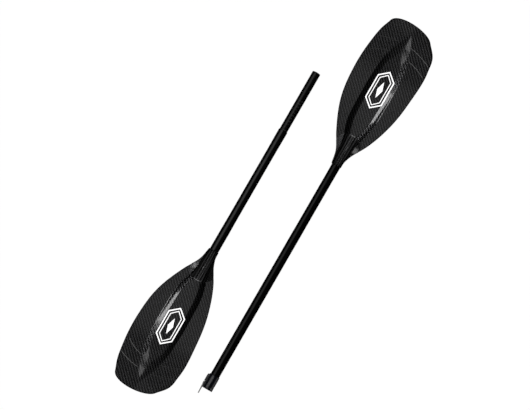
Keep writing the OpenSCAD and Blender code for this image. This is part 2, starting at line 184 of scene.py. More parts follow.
def curve(points, x):
    """Smooth curve through the points, at each x; slopes come from the neighbouring chords."""
    px = np.array([p[0] for p in points], float)
    py = np.array([p[1] for p in points], float)
    step = np.diff(px)
    chord = np.diff(py) / step
    slope = np.empty(len(px))
    slope[0] = chord[0]
    slope[-1] = chord[-1]
    slope[1:-1] = (chord[1:] * step[:-1] + chord[:-1] * step[1:]) / (step[:-1] + step[1:])
    i = np.clip(np.searchsorted(px, x) - 1, 0, len(step) - 1)
    q = np.clip((x - px[i]) / step[i], 0, 1)
    return (
        (2 * q**3 - 3 * q**2 + 1) * py[i]
        + (q**3 - 2 * q**2 + q) * step[i] * slope[i]
        + (3 * q**2 - 2 * q**3) * py[i + 1]
        + (q**3 - q**2) * step[i] * slope[i + 1]
    )


def bezier(points, q):
    weights = ((1 - q) ** 3, 3 * (1 - q) ** 2 * q, 3 * (1 - q) * q**2, q**3)
    x = sum(w * p[0] for w, p in zip(weights, points))
    y = sum(w * p[1] for w, p in zip(weights, points))
    return x, y


# ---------------------------------------------------------------- blade shape
# s is the fraction of the way from neck to tip; y is the distance from the shaft axis.


def edge_at(s, y_sign):
    return np.where(y_sign > 0, curve(LONG_EDGE, s), curve(SHORT_EDGE, s))


def creased(s):
    return smooth((s - CREASE_FROM) / CREASE_LEN)


def spine_at(s, y_sign):
    crease = curve(SPINE_HALF, s) + y_sign * SPINE_SHIFT * creased(s)
    return mix(edge_at(s, y_sign), crease, smooth(s * BLADE_LEN / SPINE_BLEND))


def panel_z(s, y):
    """Middle surface: spooned along the blade, cupped across it, with a shallow valley at the tip."""
    spoon = SPOON_RISE * np.clip((s - SPOON_FROM) / (1 - SPOON_FROM), 0, None) ** 2
    across = np.abs(y) / LONG_SIDE
    valley = mix(across**2, across**1.2, smooth((s - VALLEY_FROM) / VALLEY_LEN))
    return spoon + CUP_RISE * valley * smooth((s - SPOON_FROM) / 0.31)


def ridge_share(s, y, inset):
    """Share of the ridge's height: a round neck, then a flat top with wide sides, then a roof."""
    foot = np.maximum(spine_at(s, np.where(y < 0, -1.0, 1.0)) - inset * (1 - creased(s)), 0.1 * MM)
    q = np.minimum(np.abs(y) / foot, 1)
    roofed = smooth((s - ROOF_FROM) / ROOF_LEN)
    flank = mix(np.minimum(FLANK, FLANK_SHARE * foot), foot, roofed)
    down = np.clip((np.abs(y) - foot + flank) / flank, 0, None)
    drop = 1 - down ** mix(1.55, 1.15, roofed)
    fillet = 0.05
    side = (drop + np.sqrt(drop**2 + fillet**2)) / 2
    return mix(np.sqrt(np.clip(1 - q * q, 0, 1)), mix(side, 1 - q * q, CROWN), creased(s))


def face_z(s, y, inset, face):
    opened = smooth(s / FLARE)
    flat = SEAM + (EDGE_T / 2 - inset - SEAM) * opened
    ridge = curve(FRONT_RIDGE if face > 0 else BACK_RIDGE, s) - inset
    return panel_z(s, y) + face * (flat + np.maximum(ridge - flat, 0) * ridge_share(s, y, inset))


def column_y(u, s, inset):
    """Where column u (-1 to 1) crosses the blade: columns gather on the spine's flanks."""
    sign = np.where(u < 0, -1.0, 1.0)
    a = np.abs(u)
    edge = edge_at(s, sign) - inset
    foot = np.maximum(spine_at(s, sign), 14 * MM)
    top = foot - np.minimum(FLANK, FLANK_SHARE * foot)
    panel = np.where(
        a < 0.35,
        top * a / 0.35,
        np.where(a < 0.65, mix(top, foot, (a - 0.35) / 0.30), mix(foot, edge, np.clip((a - 0.65) / 0.35, 0, 1) ** 1.6)),
    )
    return sign * mix(edge * np.sin(a * math.pi / 2), panel, creased(s))


def plan(u, s, inset):
    """Plan point of column u and row s: rows are straight, then bend to follow the tip edge."""
    bend = smooth((s - BEND_FROM) / (TIP_AT - BEND_FROM))
    tip_x, tip_y = bezier(TIP_EDGE, (1 - u) / 2)
    shrink = 1 - inset / BLADE_LEN
    x = (s + bend * tip_x / BLADE_LEN) * shrink
    tip_column = column_y(u, np.full_like(s, TIP_AT), inset)
    return x, column_y(u, s, inset) + bend * (tip_y * (1 - inset / (70 * MM)) - tip_column)


class Half:
    """One half of the paddle: its axis, its neck and the way its blade points."""

    def __init__(self, side, body, way):
        low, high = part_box(f"{side}_blade_front_skin")
        self.side = side
        self.body = body
        self.way = way
        self.axis_y = middle(f"{side}_shaft").y
        self.neck_x = low.x if way > 0 else high.x

    def place(self, s, y, z):
        """Row-frame points from blade coordinates, stacked on a last axis of three."""
        s, y, z = np.broadcast_arrays(s, y, z)
        return np.stack([self.neck_x + self.way * s * BLADE_LEN, self.axis_y + y, z], axis=-1)

    def surface(self, u, s, plan_inset, inset, face):
        x, y = plan(u, s, plan_inset)
        return self.place(x, y, face_z(x, y, inset, face))


RIGHT = Half("right", RIGHT_BODY, 1)
LEFT = Half("left", LEFT_BODY, -1)
HALVES = (RIGHT, LEFT)


# ---------------------------------------------------------------- mesh helpers


def finish_piece(obj, body, material, replaced=(), sharp=40):
    """Smooth shading with sharp creases, a material, and a body to ride on."""
    mesh = obj.data
    mesh.polygons.foreach_set("use_smooth", [True] * len(mesh.polygons))
    mesh.set_sharp_from_angle(angle=math.radians(sharp))
    mesh.materials.clear()
    mesh.materials.append(material)
    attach(obj, body)
    if replaced:
        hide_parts(*replaced)
    return obj


def mesh_object(name, points, faces):
    """Object from points and faces, with its normals turned outwards."""
    mesh = bpy.data.meshes.new(name)
    mesh.from_pydata([tuple(p) for p in points], [], faces)
    build = bmesh.new()
    build.from_mesh(mesh)
    bmesh.ops.recalc_face_normals(build, faces=build.faces)
    build.to_mesh(mesh)
    build.free()
    mesh.update()
    obj = bpy.data.objects.new(name, mesh)
    bpy.context.scene.collection.objects.link(obj)
    return obj


def sheet_faces(upper, lower):
    """Points and faces of the closed solid between two grids of points of the same size."""
    rows, cols = upper.shape[:2]
    total = rows * cols
    points = np.concatenate([upper.reshape(-1, 3), lower.reshape(-1, 3)])
    faces = []
    for j in range(rows - 1):
        for i in range(cols - 1):
            a = j * cols + i
            faces.append((a, a + 1, a + cols + 1, a + cols))
            faces.append((total + a, total + a + cols, total + a + cols + 1, total + a + 1))
    ring = list(range(cols))
    ring += [j * cols + cols - 1 for j in range(1, rows)]
    ring += [total - 1 - i for i in range(1, cols)]
    ring += [total - cols - j * cols for j in range(1, rows - 1)]
    for k, a in enumerate(ring):
        b = ring[(k + 1) % len(ring)]
        faces.append((a, a + total, b + total, b))
    return points, faces


def loft_faces(rings, closed=False):
    """Points and faces of a bar through rings of points; a closed bar joins its two ends."""
    count, n = rings.shape[:2]
    faces = []
    for j in range(count if closed else count - 1):
        k = (j + 1) % count
        for i in range(n):
            m = (i + 1) % n
            faces.append((j * n + i, j * n + m, k * n + m, k * n + i))
    if not closed:
        faces.append(tuple(range(n))[::-1])
        faces.append(tuple((count - 1) * n + i for i in range(n)))
    return rings.reshape(-1, 3), faces


def join_parts(parts):
    """One list of points and faces from several."""
    points = []
    faces = []
    for part_points, part_faces in parts:
        base = len(points)
        points.extend(tuple(p) for p in part_points)
        faces.extend(tuple(base + i for i in f) for f in part_faces)
    return points, faces


def revolve_faces(profile, axis_y, segments=96, closed=True):
    """A ring profile of (x, radius) points turned about the line y = axis_y, z = 0."""
    angles = np.linspace(0, 2 * math.pi, segments, endpoint=False)
    rings = np.array(
        [[(x, axis_y + r * math.cos(a), r * math.sin(a)) for x, r in profile] for a in angles]
    )
    return loft_faces(rings, closed=True)


def box_object(name, low, high):
    corners = [(x, y, z) for x in (low[0], high[0]) for y in (low[1], high[1]) for z in (low[2], high[2])]
    faces = [(0, 1, 3, 2), (4, 6, 7, 5), (0, 4, 5, 1), (2, 3, 7, 6), (0, 2, 6, 4), (1, 5, 7, 3)]
    return mesh_object(name, corners, faces)


def cylinder_object(name, start, end, radius, segments=48):
    """A round bar between two points."""
    start, end = Vector(start), Vector(end)
    turn = (end - start).to_track_quat("Z", "Y")
    rings = []
    for centre in (start, end):
        ring = []
        for k in range(segments):
            a = 2 * math.pi * k / segments
            ring.append(centre + turn @ Vector((radius * math.cos(a), radius * math.sin(a), 0)))
        rings.append(ring)
    return mesh_object(name, *loft_faces(np.array(rings)))


def extruded_object(name, outline, z_low, z_high):
    """A plan outline of (x, y) points, extruded along Z."""
    rings = np.array([[(x, y, z) for x, y in outline] for z in (z_low, z_high)])
    return mesh_object(name, *loft_faces(rings))


def carve(obj, tools, operation="DIFFERENCE"):
    """Boolean of obj with each tool in turn; the tools are used up."""
    for tool in tools:
        change = obj.modifiers.new("carve", "BOOLEAN")
        change.operation = operation
        change.solver = "EXACT"
        change.object = tool
        apply_modifiers(obj)
        bpy.data.objects.remove(tool)
    return obj


def apply_modifiers(obj):
    depsgraph = bpy.context.evaluated_depsgraph_get()
    depsgraph.update()
    mesh = bpy.data.meshes.new_from_object(obj.evaluated_get(depsgraph))
    obj.modifiers.clear()
    obj.data = mesh


def soften(obj, width, segments=2, angle=35):
    """Rounds the sharp edges of a machined or moulded piece."""
    bevel = obj.modifiers.new("soften", "BEVEL")
    bevel.width = width
    bevel.segments = segments
    bevel.limit_method = "ANGLE"
    bevel.angle_limit = math.radians(angle)
    bevel.use_clamp_overlap = True
    bevel.miter_outer = "MITER_ARC"
    apply_modifiers(obj)
    return obj


def arc(centre, radius, start, end, count):
    """Plan points along an arc; angles in degrees."""
    angles = np.radians(np.linspace(start, end, count))
    return [(centre[0] + radius * math.cos(a), centre[1] + radius * math.sin(a)) for a in angles]


# ---------------------------------------------------------------- material helpers


class Paint:
    """A node material with short calls for its maths; the shader is one Principled BSDF."""

    def __init__(self, name):
        self.material = bpy.data.materials.new(name)
        self.material.use_nodes = True
        self.tree = self.material.node_tree
        self.shader = self.tree.nodes["Principled BSDF"]
        self.output = self.tree.nodes["Material Output"]

    def node(self, kind, **settings):
        made = self.tree.nodes.new(kind)
        for key, value in settings.items():
            setattr(made, key, value)
        return made

    def link(self, value, socket):
        """Feeds a socket from another socket or from a constant."""
        if isinstance(value, bpy.types.NodeSocket):
            self.tree.links.new(value, socket)
        else:
            socket.default_value = value

    def math(self, operation, *values, clamp=False):
        made = self.node("ShaderNodeMath", operation=operation, use_clamp=clamp)
        for socket, value in zip(made.inputs, values):
            self.link(value, socket)
        return made.outputs[0]

    def set(self, **inputs):
        for key, value in inputs.items():
            self.link(value, self.shader.inputs[key.replace("_", " ")])

    def position(self):
        """Object coordinates and their three parts; every piece's object sits at the origin."""
        coords = self.node("ShaderNodeTexCoord").outputs["Object"]
        split = self.node("ShaderNodeSeparateXYZ")
        self.link(coords, split.inputs[0])
        return coords, split.outputs[0], split.outputs[1], split.outputs[2]

    def noise(self, vector, scale, detail=3.0, roughness=0.5):
        made = self.node("ShaderNodeTexNoise")
        self.link(vector, made.inputs["Vector"])
        made.inputs["Scale"].default_value = scale
        made.inputs["Detail"].default_value = detail
        made.inputs["Roughness"].default_value = roughness
        return made.outputs["Fac"]

    def stretched(self, vector, stretch):
        made = self.node("ShaderNodeVectorMath", operation="MULTIPLY")
        self.link(vector, made.inputs[0])
        made.inputs[1].default_value = stretch
        return made.outputs[0]

    def ramp(self, value, low, high, out_low=0.0, out_high=1.0):
        made = self.node("ShaderNodeMapRange", interpolation_type="SMOOTHSTEP")
        self.link(value, made.inputs["Value"])
        for key, number in (
            ("From Min", low),
            ("From Max", high),
            ("To Min", out_low),
            ("To Max", out_high),
        ):
            made.inputs[key].default_value = number
        return made.outputs["Result"]

    def blend(self, share, low, high):
        """Mix of two colours, or of a colour and a socket, by share."""
        made = self.node("ShaderNodeMix", data_type="RGBA")
        self.link(share, made.inputs["Factor"])
        self.link(low, made.inputs[6])
        self.link(high, made.inputs[7])
        return made.outputs[2]

    def bump(self, height, distance, strength=1.0, normal=None):
        made = self.node("ShaderNodeBump")
        made.inputs["Strength"].default_value = strength
        made.inputs["Distance"].default_value = distance
        self.link(height, made.inputs["Height"])
        if normal is not None:
            self.link(normal, made.inputs["Normal"])
        return made.outputs["Normal"]

    def fraction(self, value):
        return self.math("FRACT", value)

    def crown(self, value):
        """Rounded top of one tow: 0 at its sides and 1 along its middle."""
        side = self.math("SUBTRACT", self.math("MULTIPLY", self.fraction(value), 2.0), 1.0)
        return self.math("SUBTRACT", 1.0, self.math("MULTIPLY", side, side))

    def float_arch(self, value):
        """Rise and fall of a tow over the two tows it floats across; value runs from 0 to 2."""
        return self.math("SINE", self.math("MULTIPLY", value, math.pi / 2))


def grey(level, blue=0.0):
    return (level, level, level * (1 + blue), 1.0)


def weave(paint, along, across):
    """2x2 twill: (1 where the tow along the first axis is on top, height of the cloth)."""
    i = paint.math("FLOOR", along)
    j = paint.math("FLOOR", across)
    phase = paint.math("FLOORED_MODULO", paint.math("SUBTRACT", i, j), 4.0)
    warp_up = paint.math("LESS_THAN", phase, 1.5)
    warp_run = paint.math("FLOORED_MODULO", paint.math("SUBTRACT", along, j), 4.0)
    weft_run = paint.math("FLOORED_MODULO", paint.math("SUBTRACT", i, across), 4.0)
    weft_run = paint.math("SUBTRACT", weft_run, 1.0)
    warp_height = paint.math("MULTIPLY", paint.crown(across), paint.float_arch(warp_run))
    weft_height = paint.math("MULTIPLY", paint.crown(along), paint.float_arch(weft_run))
    height = paint.math(
        "ADD",
        paint.math("MULTIPLY", warp_up, warp_height),
        paint.math("MULTIPLY", paint.math("SUBTRACT", 1.0, warp_up), weft_height),
    )
    return warp_up, height


def world_direction(paint, vector):
    """An object-space direction that turns with the piece."""
    made = paint.node("ShaderNodeVectorTransform", vector_type="VECTOR", convert_from="OBJECT", convert_to="WORLD")
    paint.link(vector, made.inputs[0])
    return made.outputs[0]


# ---------------------------------------------------------------- materials

TOW = 2.83 * MM


def twill_carbon(name, along, across, bright=0.12, dark=0.003):
    """Clear-coated carbon twill; along and across are directions in the piece's own frame."""
    paint = Paint(name)
    coords, x, y, z = paint.position()
    first = paint.node("ShaderNodeVectorMath", operation="DOT_PRODUCT")
    paint.link(coords, first.inputs[0])
    first.inputs[1].default_value = along
    second = paint.node("ShaderNodeVectorMath", operation="DOT_PRODUCT")
    paint.link(coords, second.inputs[0])
    second.inputs[1].default_value = across
    a = paint.math("DIVIDE", first.outputs["Value"], TOW)
    b = paint.math("DIVIDE", second.outputs["Value"], TOW)
    warp_up, height = weave(paint, a, b)
    filament_a = paint.noise(paint.stretched(coords, (60, 900, 900)), 6.0, 2.0)
    filament_b = paint.noise(paint.stretched(coords, (900, 60, 900)), 6.0, 2.0)
    filaments = paint.math(
        "ADD",
        paint.math("MULTIPLY", warp_up, filament_a),
        paint.math("MULTIPLY", paint.math("SUBTRACT", 1.0, warp_up), filament_b),
    )
    cloud = paint.noise(coords, 9.0, 3.0)
    # lit: the ramp on the cloth's height is painted shade, darker towards each tow's sides; the filament and cloud
    # ramps are real streaks and tone.
    lit = paint.math("MULTIPLY", paint.ramp(height, 0.05, 0.8, 0.55, 1.0), paint.ramp(filaments, 0.2, 0.8, 0.8, 1.12))
    lit = paint.math("MULTIPLY", lit, paint.ramp(cloud, 0.3, 0.7, 0.94, 1.04))
    # The warp tows are painted light and the weft near black: painted sheen and painted shade for how the two tow
    # directions catch the lamps.
    warp_painted_sheen = paint.blend(lit, grey(0.004), grey(bright, 0.04))
    weft_painted_shade = paint.blend(lit, grey(0.002), grey(dark, 0.05))
    tow_direction = paint.node("ShaderNodeMix", data_type="VECTOR")
    paint.link(warp_up, tow_direction.inputs["Factor"])
    tow_direction.inputs[4].default_value = across
    tow_direction.inputs[5].default_value = along
    paint.set(
        Base_Color=paint.blend(warp_up, weft_painted_shade, warp_painted_sheen),
        Metallic=0.8,
        Roughness=paint.ramp(filaments, 0.2, 0.8, 0.42, 0.50),
        Anisotropic=0.4,
        Tangent=world_direction(paint, tow_direction.outputs[1]),
        Normal=paint.bump(height, 0.12 * MM, 0.25),
        Coat_Weight=1.0,
        Coat_Roughness=paint.ramp(paint.noise(coords, 60.0, 4.0), 0.3, 0.75, 0.07, 0.13),
        Coat_IOR=1.5,
        Coat_Normal=paint.bump(paint.noise(coords, 140.0, 2.0), 0.02 * MM, 0.25),
    )
    return paint.material


def braided_carbon(name, axis_y):
    """Braid of tows at 45 degrees round a tube, under clear resin."""
    paint = Paint(name)
    coords, x, y, z = paint.position()
    angle = paint.math("ARCTAN2", z, paint.math("SUBTRACT", y, axis_y))
    turns = paint.math("MULTIPLY", angle, 14.0 / math.pi)
    length = paint.math("DIVIDE", x, 3.4 * MM)
    warp_up, height = weave(paint, paint.math("ADD", length, turns), paint.math("SUBTRACT", length, turns))
    grain = paint.noise(coords, 500.0, 2.0)
    # lit: the ramp on the cloth's height is painted shade at each tow's sides; the grain ramp is real tone.
    lit = paint.math("MULTIPLY", paint.ramp(height, 0.1, 0.9, 0.2, 1.0), paint.ramp(grain, 0.3, 0.7, 0.8, 1.1))
    # The warp tows are painted light and the weft near black: painted sheen and painted shade for how the two braid
    # directions catch the lamps.
    warp_painted_sheen = paint.blend(lit, grey(0.003), grey(0.18, 0.03))
    weft_painted_shade = paint.blend(lit, grey(0.001), grey(0.006, 0.03))
    paint.set(
        Base_Color=paint.blend(warp_up, weft_painted_shade, warp_painted_sheen),
        Metallic=0.8,
        Roughness=paint.ramp(grain, 0.3, 0.7, 0.34, 0.46),
        Normal=paint.bump(height, 0.15 * MM, 0.45),
        Coat_Weight=0.6,
        Coat_Roughness=0.08,
        Coat_Normal=paint.bump(paint.noise(coords, 180.0, 2.0), 0.03 * MM, 0.3),
    )
    return paint.material


def wound_carbon(name, axis_y, base, coat, roughness):
    """Gloss black tube with a faint trace of its wound tape, drawn as painted shade at each turn's edges."""
    paint = Paint(name)
    coords, x, y, z = paint.position()
    angle = paint.math("ARCTAN2", z, paint.math("SUBTRACT", y, axis_y))
    helix = paint.math("ADD", paint.math("DIVIDE", x, 9 * MM), paint.math("DIVIDE", angle, math.pi / 2))
    tape = paint.crown(helix)
    fibres = paint.noise(paint.stretched(coords, (40, 600, 600)), 5.0, 2.0)
    scuffs = paint.noise(paint.stretched(coords, (25, 160, 160)), 4.0, 5.0, 0.65)
    # lit: the tape ramp is painted shade, darker at each turn's edges; the fibre ramp is real streaking.
    lit = paint.math("MULTIPLY", paint.ramp(tape, 0.0, 0.5, 0.6, 1.0), paint.ramp(fibres, 0.3, 0.7, 0.6, 1.1))
    paint.set(
        Base_Color=paint.blend(lit, grey(0.002), grey(base, 0.03)),
        Metallic=0.3,
        Roughness=paint.ramp(scuffs, 0.35, 0.75, roughness, roughness + 0.12),
        Normal=paint.bump(tape, 0.03 * MM, 0.2),
        Coat_Weight=coat,
        Coat_Roughness=paint.ramp(scuffs, 0.4, 0.8, 0.05, 0.14),
    )
    return paint.material


def ground_tube(name, axis_y):
    """Satin carbon of the spigot, ground to size, with fine rings and slide marks."""
    paint = Paint(name)
    coords, x, y, z = paint.position()
    rings = paint.noise(paint.stretched(coords, (2600, 30, 30)), 1.0, 3.0)
    slides = paint.noise(paint.stretched(coords, (6, 900, 900)), 1.0, 2.0)
    worn = paint.math("MULTIPLY", paint.ramp(slides, 0.5, 0.75), 0.5)
    paint.set(
        Base_Color=paint.blend(worn, grey(0.006), grey(0.03)),
        Roughness=paint.ramp(rings, 0.3, 0.7, 0.26, 0.42),
        Normal=paint.bump(rings, 0.01 * MM, 0.4),
        Specular_IOR_Level=0.5,
        Coat_Weight=0.25,
        Coat_Roughness=0.2,
    )
    return paint.material


def moulded(name, colour, roughness, grain=900.0, depth=0.03 * MM, shine=0.5):
    """Moulded plastic or rubber with a fine eroded grain and rubbed high spots."""
    paint = Paint(name)
    coords, x, y, z = paint.position()
    fine = paint.noise(coords, grain, 2.0)
    broad = paint.noise(coords, 70.0, 4.0)
    geometry = paint.node("ShaderNodeNewGeometry")
    rubbed = paint.ramp(geometry.outputs["Pointiness"], 0.52, 0.60, 0.0, 0.35)
    light = tuple(min(1.0, c * 2.2 + 0.01) for c in colour[:3]) + (1.0,)
    paint.set(
        Base_Color=paint.blend(rubbed, colour, light),
        Roughness=paint.ramp(broad, 0.3, 0.7, roughness - 0.06, roughness + 0.08),
        Specular_IOR_Level=shine,
        Normal=paint.bump(fine, depth, 0.35),
    )
    return paint.material


def brushed(name, level, roughness, direction):
    """Brushed metal; direction stretches the brush marks along one axis."""
    paint = Paint(name)
    coords, x, y, z = paint.position()
    marks = paint.noise(paint.stretched(coords, direction), 1.0, 4.0, 0.6)
    stains = paint.noise(coords, 120.0, 3.0)
    shade = paint.math("MULTIPLY", paint.ramp(marks, 0.3, 0.7, 0.86, 1.05), paint.ramp(stains, 0.3, 0.7, 0.93, 1.03))
    paint.set(
        Base_Color=paint.blend(shade, grey(0.02), grey(level)),
        Metallic=1.0,
        Roughness=paint.ramp(marks, 0.3, 0.7, roughness, roughness + 0.14),
        Anisotropic=0.5,
        Normal=paint.bump(marks, 0.01 * MM, 0.3),
    )
    return paint.material


def printed(name, level, roughness, glow):
    """Screen-printed ink: opaque, slightly uneven and lightly worn; its glow is painted light that brightens the print.
    """
    paint = Paint(name)
    coords, x, y, z = paint.position()
    speckle = paint.noise(coords, 900.0, 3.0)
    cover = paint.noise(coords, 45.0, 3.0)
    shade = paint.math("MULTIPLY", paint.ramp(speckle, 0.28, 0.5, 0.9, 1.0), paint.ramp(cover, 0.3, 0.7, 0.95, 1.0))
    paint.set(
        Base_Color=paint.blend(shade, grey(0.02), grey(level)),
        Roughness=paint.ramp(speckle, 0.3, 0.7, roughness - 0.05, roughness + 0.08),
        Normal=paint.bump(speckle, 0.01 * MM, 0.3),
        # The emission is painted light: the ink glows beyond what the lamps give it.
        Emission_Color=grey(level),
        Emission_Strength=glow,
    )
    return paint.material


def foam(name, colour):
    """Closed-cell foam: small cells and a soft colour drift."""
    paint = Paint(name)
    coords, x, y, z = paint.position()
    cells = paint.node("ShaderNodeTexVoronoi")
    paint.link(coords, cells.inputs["Vector"])
    cells.inputs["Scale"].default_value = 1400.0
    drift = paint.noise(coords, 40.0, 3.0)
    pale = tuple(min(1.0, c * 1.08) for c in colour[:3]) + (1.0,)
    paint.set(
        Base_Color=paint.blend(drift, colour, pale),
        Roughness=0.9,
        Normal=paint.bump(cells.outputs["Distance"], 0.2 * MM, 0.5),
    )
    return paint.material


X_AXIS = (1.0, 0.0, 0.0)
Y_AXIS = (0.0, 1.0, 0.0)
BLADE_CARBON = twill_carbon("blade_carbon", X_AXIS, Y_AXIS)
RIM_RESIN = moulded("rim_resin", (0.004, 0.004, 0.005, 1.0), 0.3, 300.0, 0.01 * MM, 0.15)
BRAID = {half.side: braided_carbon(f"braid_{half.side}", half.axis_y) for half in HALVES}
SHAFT_CARBON = {
    half.side: wound_carbon(f"shaft_carbon_{half.side}", half.axis_y, 0.012, 1.0, 0.3) for half in HALVES
}
SPIGOT_CARBON = ground_tube("spigot_carbon", AXIS_LEFT)
COLLAR_NYLON = moulded("collar_nylon", (0.006, 0.007, 0.012, 1.0), 0.24)
CAP_RUBBER = moulded("cap_rubber", (0.012, 0.012, 0.012, 1.0), 0.62, grain=500.0)
LEVER_STEEL = brushed("lever_steel", 0.36, 0.30, (80, 1800, 1800))
PIN_STEEL = brushed("pin_steel", 0.72, 0.18, (900, 900, 120))
SHOE_STEEL = brushed("shoe_steel", 0.55, 0.30, (100, 900, 900))
RIVET_ALLOY = brushed("rivet_alloy", 0.50, 0.30, (700, 700, 700))
# Each ink's last number is its glow: painted light that brightens the print; the black ink has none.
WHITE_INK = printed("white_ink", 0.90, 0.38, 1.1)
SCALE_INK = printed("scale_ink", 0.30, 0.5, 0.03)
BLACK_INK = printed("black_ink", 0.006, 0.35, 0.0)
# The two stripe inks are one grey line: the lighter one a painted highlight, the darker one painted shade.
PAINTED_HIGHLIGHT_STRIPE_INK = printed("painted_highlight_stripe", 0.16, 0.45, 0.3)
PAINTED_SHADE_STRIPE_INK = printed("painted_shade_stripe", 0.035, 0.45, 0.3)
CORE_FOAM = foam("core_foam", (0.82, 0.74, 0.52, 1.0))
BUNG_FOAM = foam("bung_foam", (0.72, 0.72, 0.70, 1.0))


# ---------------------------------------------------------------- blades


def blade_skin(half, face):
    """One carbon skin, from the neck to just inside the rim's bead."""
    side_cols = 44
    rows = 130
    inset = 1.6 * MM
    u = np.linspace(-1, 1, 2 * side_cols + 1)[None, :]
    s = (TIP_AT * np.linspace(0, 1, rows) ** 1.0)[:, None]
    u, s = np.broadcast_arrays(u, s)
    edge_inset = inset * smooth(s / FLARE)
    outer = half.surface(u, s, edge_inset, 0.0, face)
    inner = half.surface(u, s, edge_inset + SKIN_T * (1 - smooth(s / FLARE)), SKIN_T, face)
    name = f"{half.side}_blade_{'front' if face > 0 else 'back'}"
    obj = mesh_object(name, *sheet_faces(outer, inner))
    return finish_piece(obj, half.body, BLADE_CARBON, (f"{name}_skin",))


def rim_path():
    """Columns and rows round the edge: down the long side, round the tip, up the short side."""
    side = np.linspace(0.125, TIP_AT, 110)
    tip = np.linspace(1, -1, 90)[1:-1]
    u = np.concatenate([np.ones(len(side)), tip, -np.ones(len(side))])
    s = np.concatenate([side, np.full(len(tip), TIP_AT), side[::-1]])
    return u, s


def blade_rim(half):
    """Black resin bead that closes the edge: a rounded lip over both skins."""
    u, s = rim_path()
    proud = 0.15 * MM
    thick = EDGE_T / 2 + proud
    lip = 3.2 * MM
    outer_x, outer_y = plan(u, s, 0.0)
    inner_x, inner_y = plan(u, s, lip)
    middle_z = panel_z(outer_x, outer_y)
    inner_z = panel_z(inner_x, inner_y)
    rings = []
    reach = 0.36
    for step in range(13):
        a = math.radians(-90 + 15 * step)
        inward = reach * (1 - math.cos(a))
        x = mix(outer_x, inner_x, inward)
        y = mix(outer_y, inner_y, inward)
        rings.append(half.place(x, y, mix(middle_z, inner_z, inward) + thick * math.sin(a)))
    for level in (1, 0.2, -0.2, -1):
        rings.append(half.place(inner_x, inner_y, inner_z + level * (EDGE_T / 2 - 0.05 * MM)))
    rings = np.stack(rings, axis=1)
    obj = mesh_object(f"{half.side}_blade_edge", *loft_faces(rings))
    return finish_piece(obj, half.body, RIM_RESIN, (f"{half.side}_blade_rim",))


def neck_wrap(half):
    """Braided sock over the neck, with a tongue along the spine and feathered ends."""
    around = 120
    rows = 44
    reach_at_edge = 0.140
    tongue = 0.075
    turn = np.linspace(0, 2 * math.pi, around, endpoint=False)[None, :]
    along = np.linspace(0, 1, rows)[:, None]
    turn, along = np.broadcast_arrays(turn, along)
    u = np.cos(turn)
    face = np.where(np.sin(turn) >= 0, 1, -1)
    column = np.arcsin(np.clip(u, -1, 1)) / (math.pi / 2)
    s = along * (reach_at_edge + tongue * (1 - column**2) ** 1.5)
    feather = np.sqrt(np.clip(np.minimum(along / 0.04, (1 - along) / 0.03), 0, 1))
    thick = (0.08 + 0.62 * feather) * MM

    def layer(out):
        x, y = plan(column, s, -out)
        front = face_z(x, y, -out, 1)
        back = face_z(x, y, -out, -1)
        return half.place(x, y, np.where(face > 0, front, back))

    outer = layer(thick)
    inner = layer(np.full_like(thick, -0.05 * MM))
    points_out, faces_out = loft_faces(outer)
    points_in, faces_in = loft_faces(inner)
    base = len(points_out)
    faces = faces_out[:-2] + [tuple(base + i for i in f) for f in faces_in[:-2]]
    last = (rows - 1) * around
    for i in range(around):
        m = (i + 1) % around
        faces.append((i, m, base + m, base + i))
        faces.append((last + i, last + m, base + last + m, base + last + i))
    obj = mesh_object(f"{half.side}_neck_sock", np.concatenate([points_out, points_in]), faces)
    return finish_piece(obj, half.body, BRAID[half.side], (f"{half.side}_neck_wrap",))


def ribbon(half, path, width, lift, closed):
    """Thin raised strip along a path of (s * length, y) points on the power face.

    The width is one number, or one for each point.
    """
    path = np.array(path, float)
    if closed:
        ahead = np.roll(path, -1, axis=0) - path
        behind = path - np.roll(path, 1, axis=0)
    else:
        ahead = np.diff(path, axis=0, append=path[-1:] + (path[-1:] - path[-2:-1]))
        behind = np.diff(path, axis=0, prepend=path[:1] - (path[1:2] - path[:1]))
    ahead /= np.linalg.norm(ahead, axis=1)[:, None]
    behind /= np.linalg.norm(behind, axis=1)[:, None]
    normal_a = np.stack([-ahead[:, 1], ahead[:, 0]], axis=1)
    normal_b = np.stack([-behind[:, 1], behind[:, 0]], axis=1)
    mitre = normal_a + normal_b
    mitre /= np.linalg.norm(mitre, axis=1)[:, None]
    spread = width / 2 / np.maximum((mitre * normal_a).sum(axis=1), 0.4)
    across = 6
    rings = []
    for level, order in ((lift, 1), (-0.05 * MM, -1)):
        for k in np.linspace(-1, 1, across)[::order]:
            points = path + mitre * (spread * k)[:, None]
            s = points[:, 0] / BLADE_LEN
            rings.append(half.place(s, points[:, 1], face_z(s, points[:, 1], 0.0, 1) + level))
    return loft_faces(np.stack(rings, axis=1), closed=closed)


def densify(corners, step, closed):
    """Points every step or so along straight runs between corners."""
    points = []
    runs = list(zip(corners, corners[1:] + corners[:1])) if closed else list(zip(corners, corners[1:]))
    for (ax, ay), (bx, by) in runs:
        count = max(1, round(math.hypot(bx - ax, by - ay) / step))
        points += [(mix(ax, bx, k / count), mix(ay, by, k / count)) for k in range(count)]
    if not closed:
        points.append(corners[-1])
    return points


EMBLEM_AT = 0.5424 * BLADE_LEN
EMBLEM_HALF_LEN = 63 * MM
EMBLEM_HALF_WID = 28.5 * MM
EMBLEM_BAND = 10 * MM


def hexagon(inset):
    """Corners of the emblem's long hexagon, moved inwards."""
    long_half = EMBLEM_HALF_LEN - 1.2 * inset
    wide_half = EMBLEM_HALF_WID - inset
    shoulder = 0.62 * EMBLEM_HALF_LEN - 0.55 * inset
    corners = [(-1, 0), (-shoulder / long_half, 1), (shoulder / long_half, 1)]
    corners += [(1, 0), (shoulder / long_half, -1), (-shoulder / long_half, -1)]
    return [(EMBLEM_AT + long_half * a, wide_half * b) for a, b in corners]


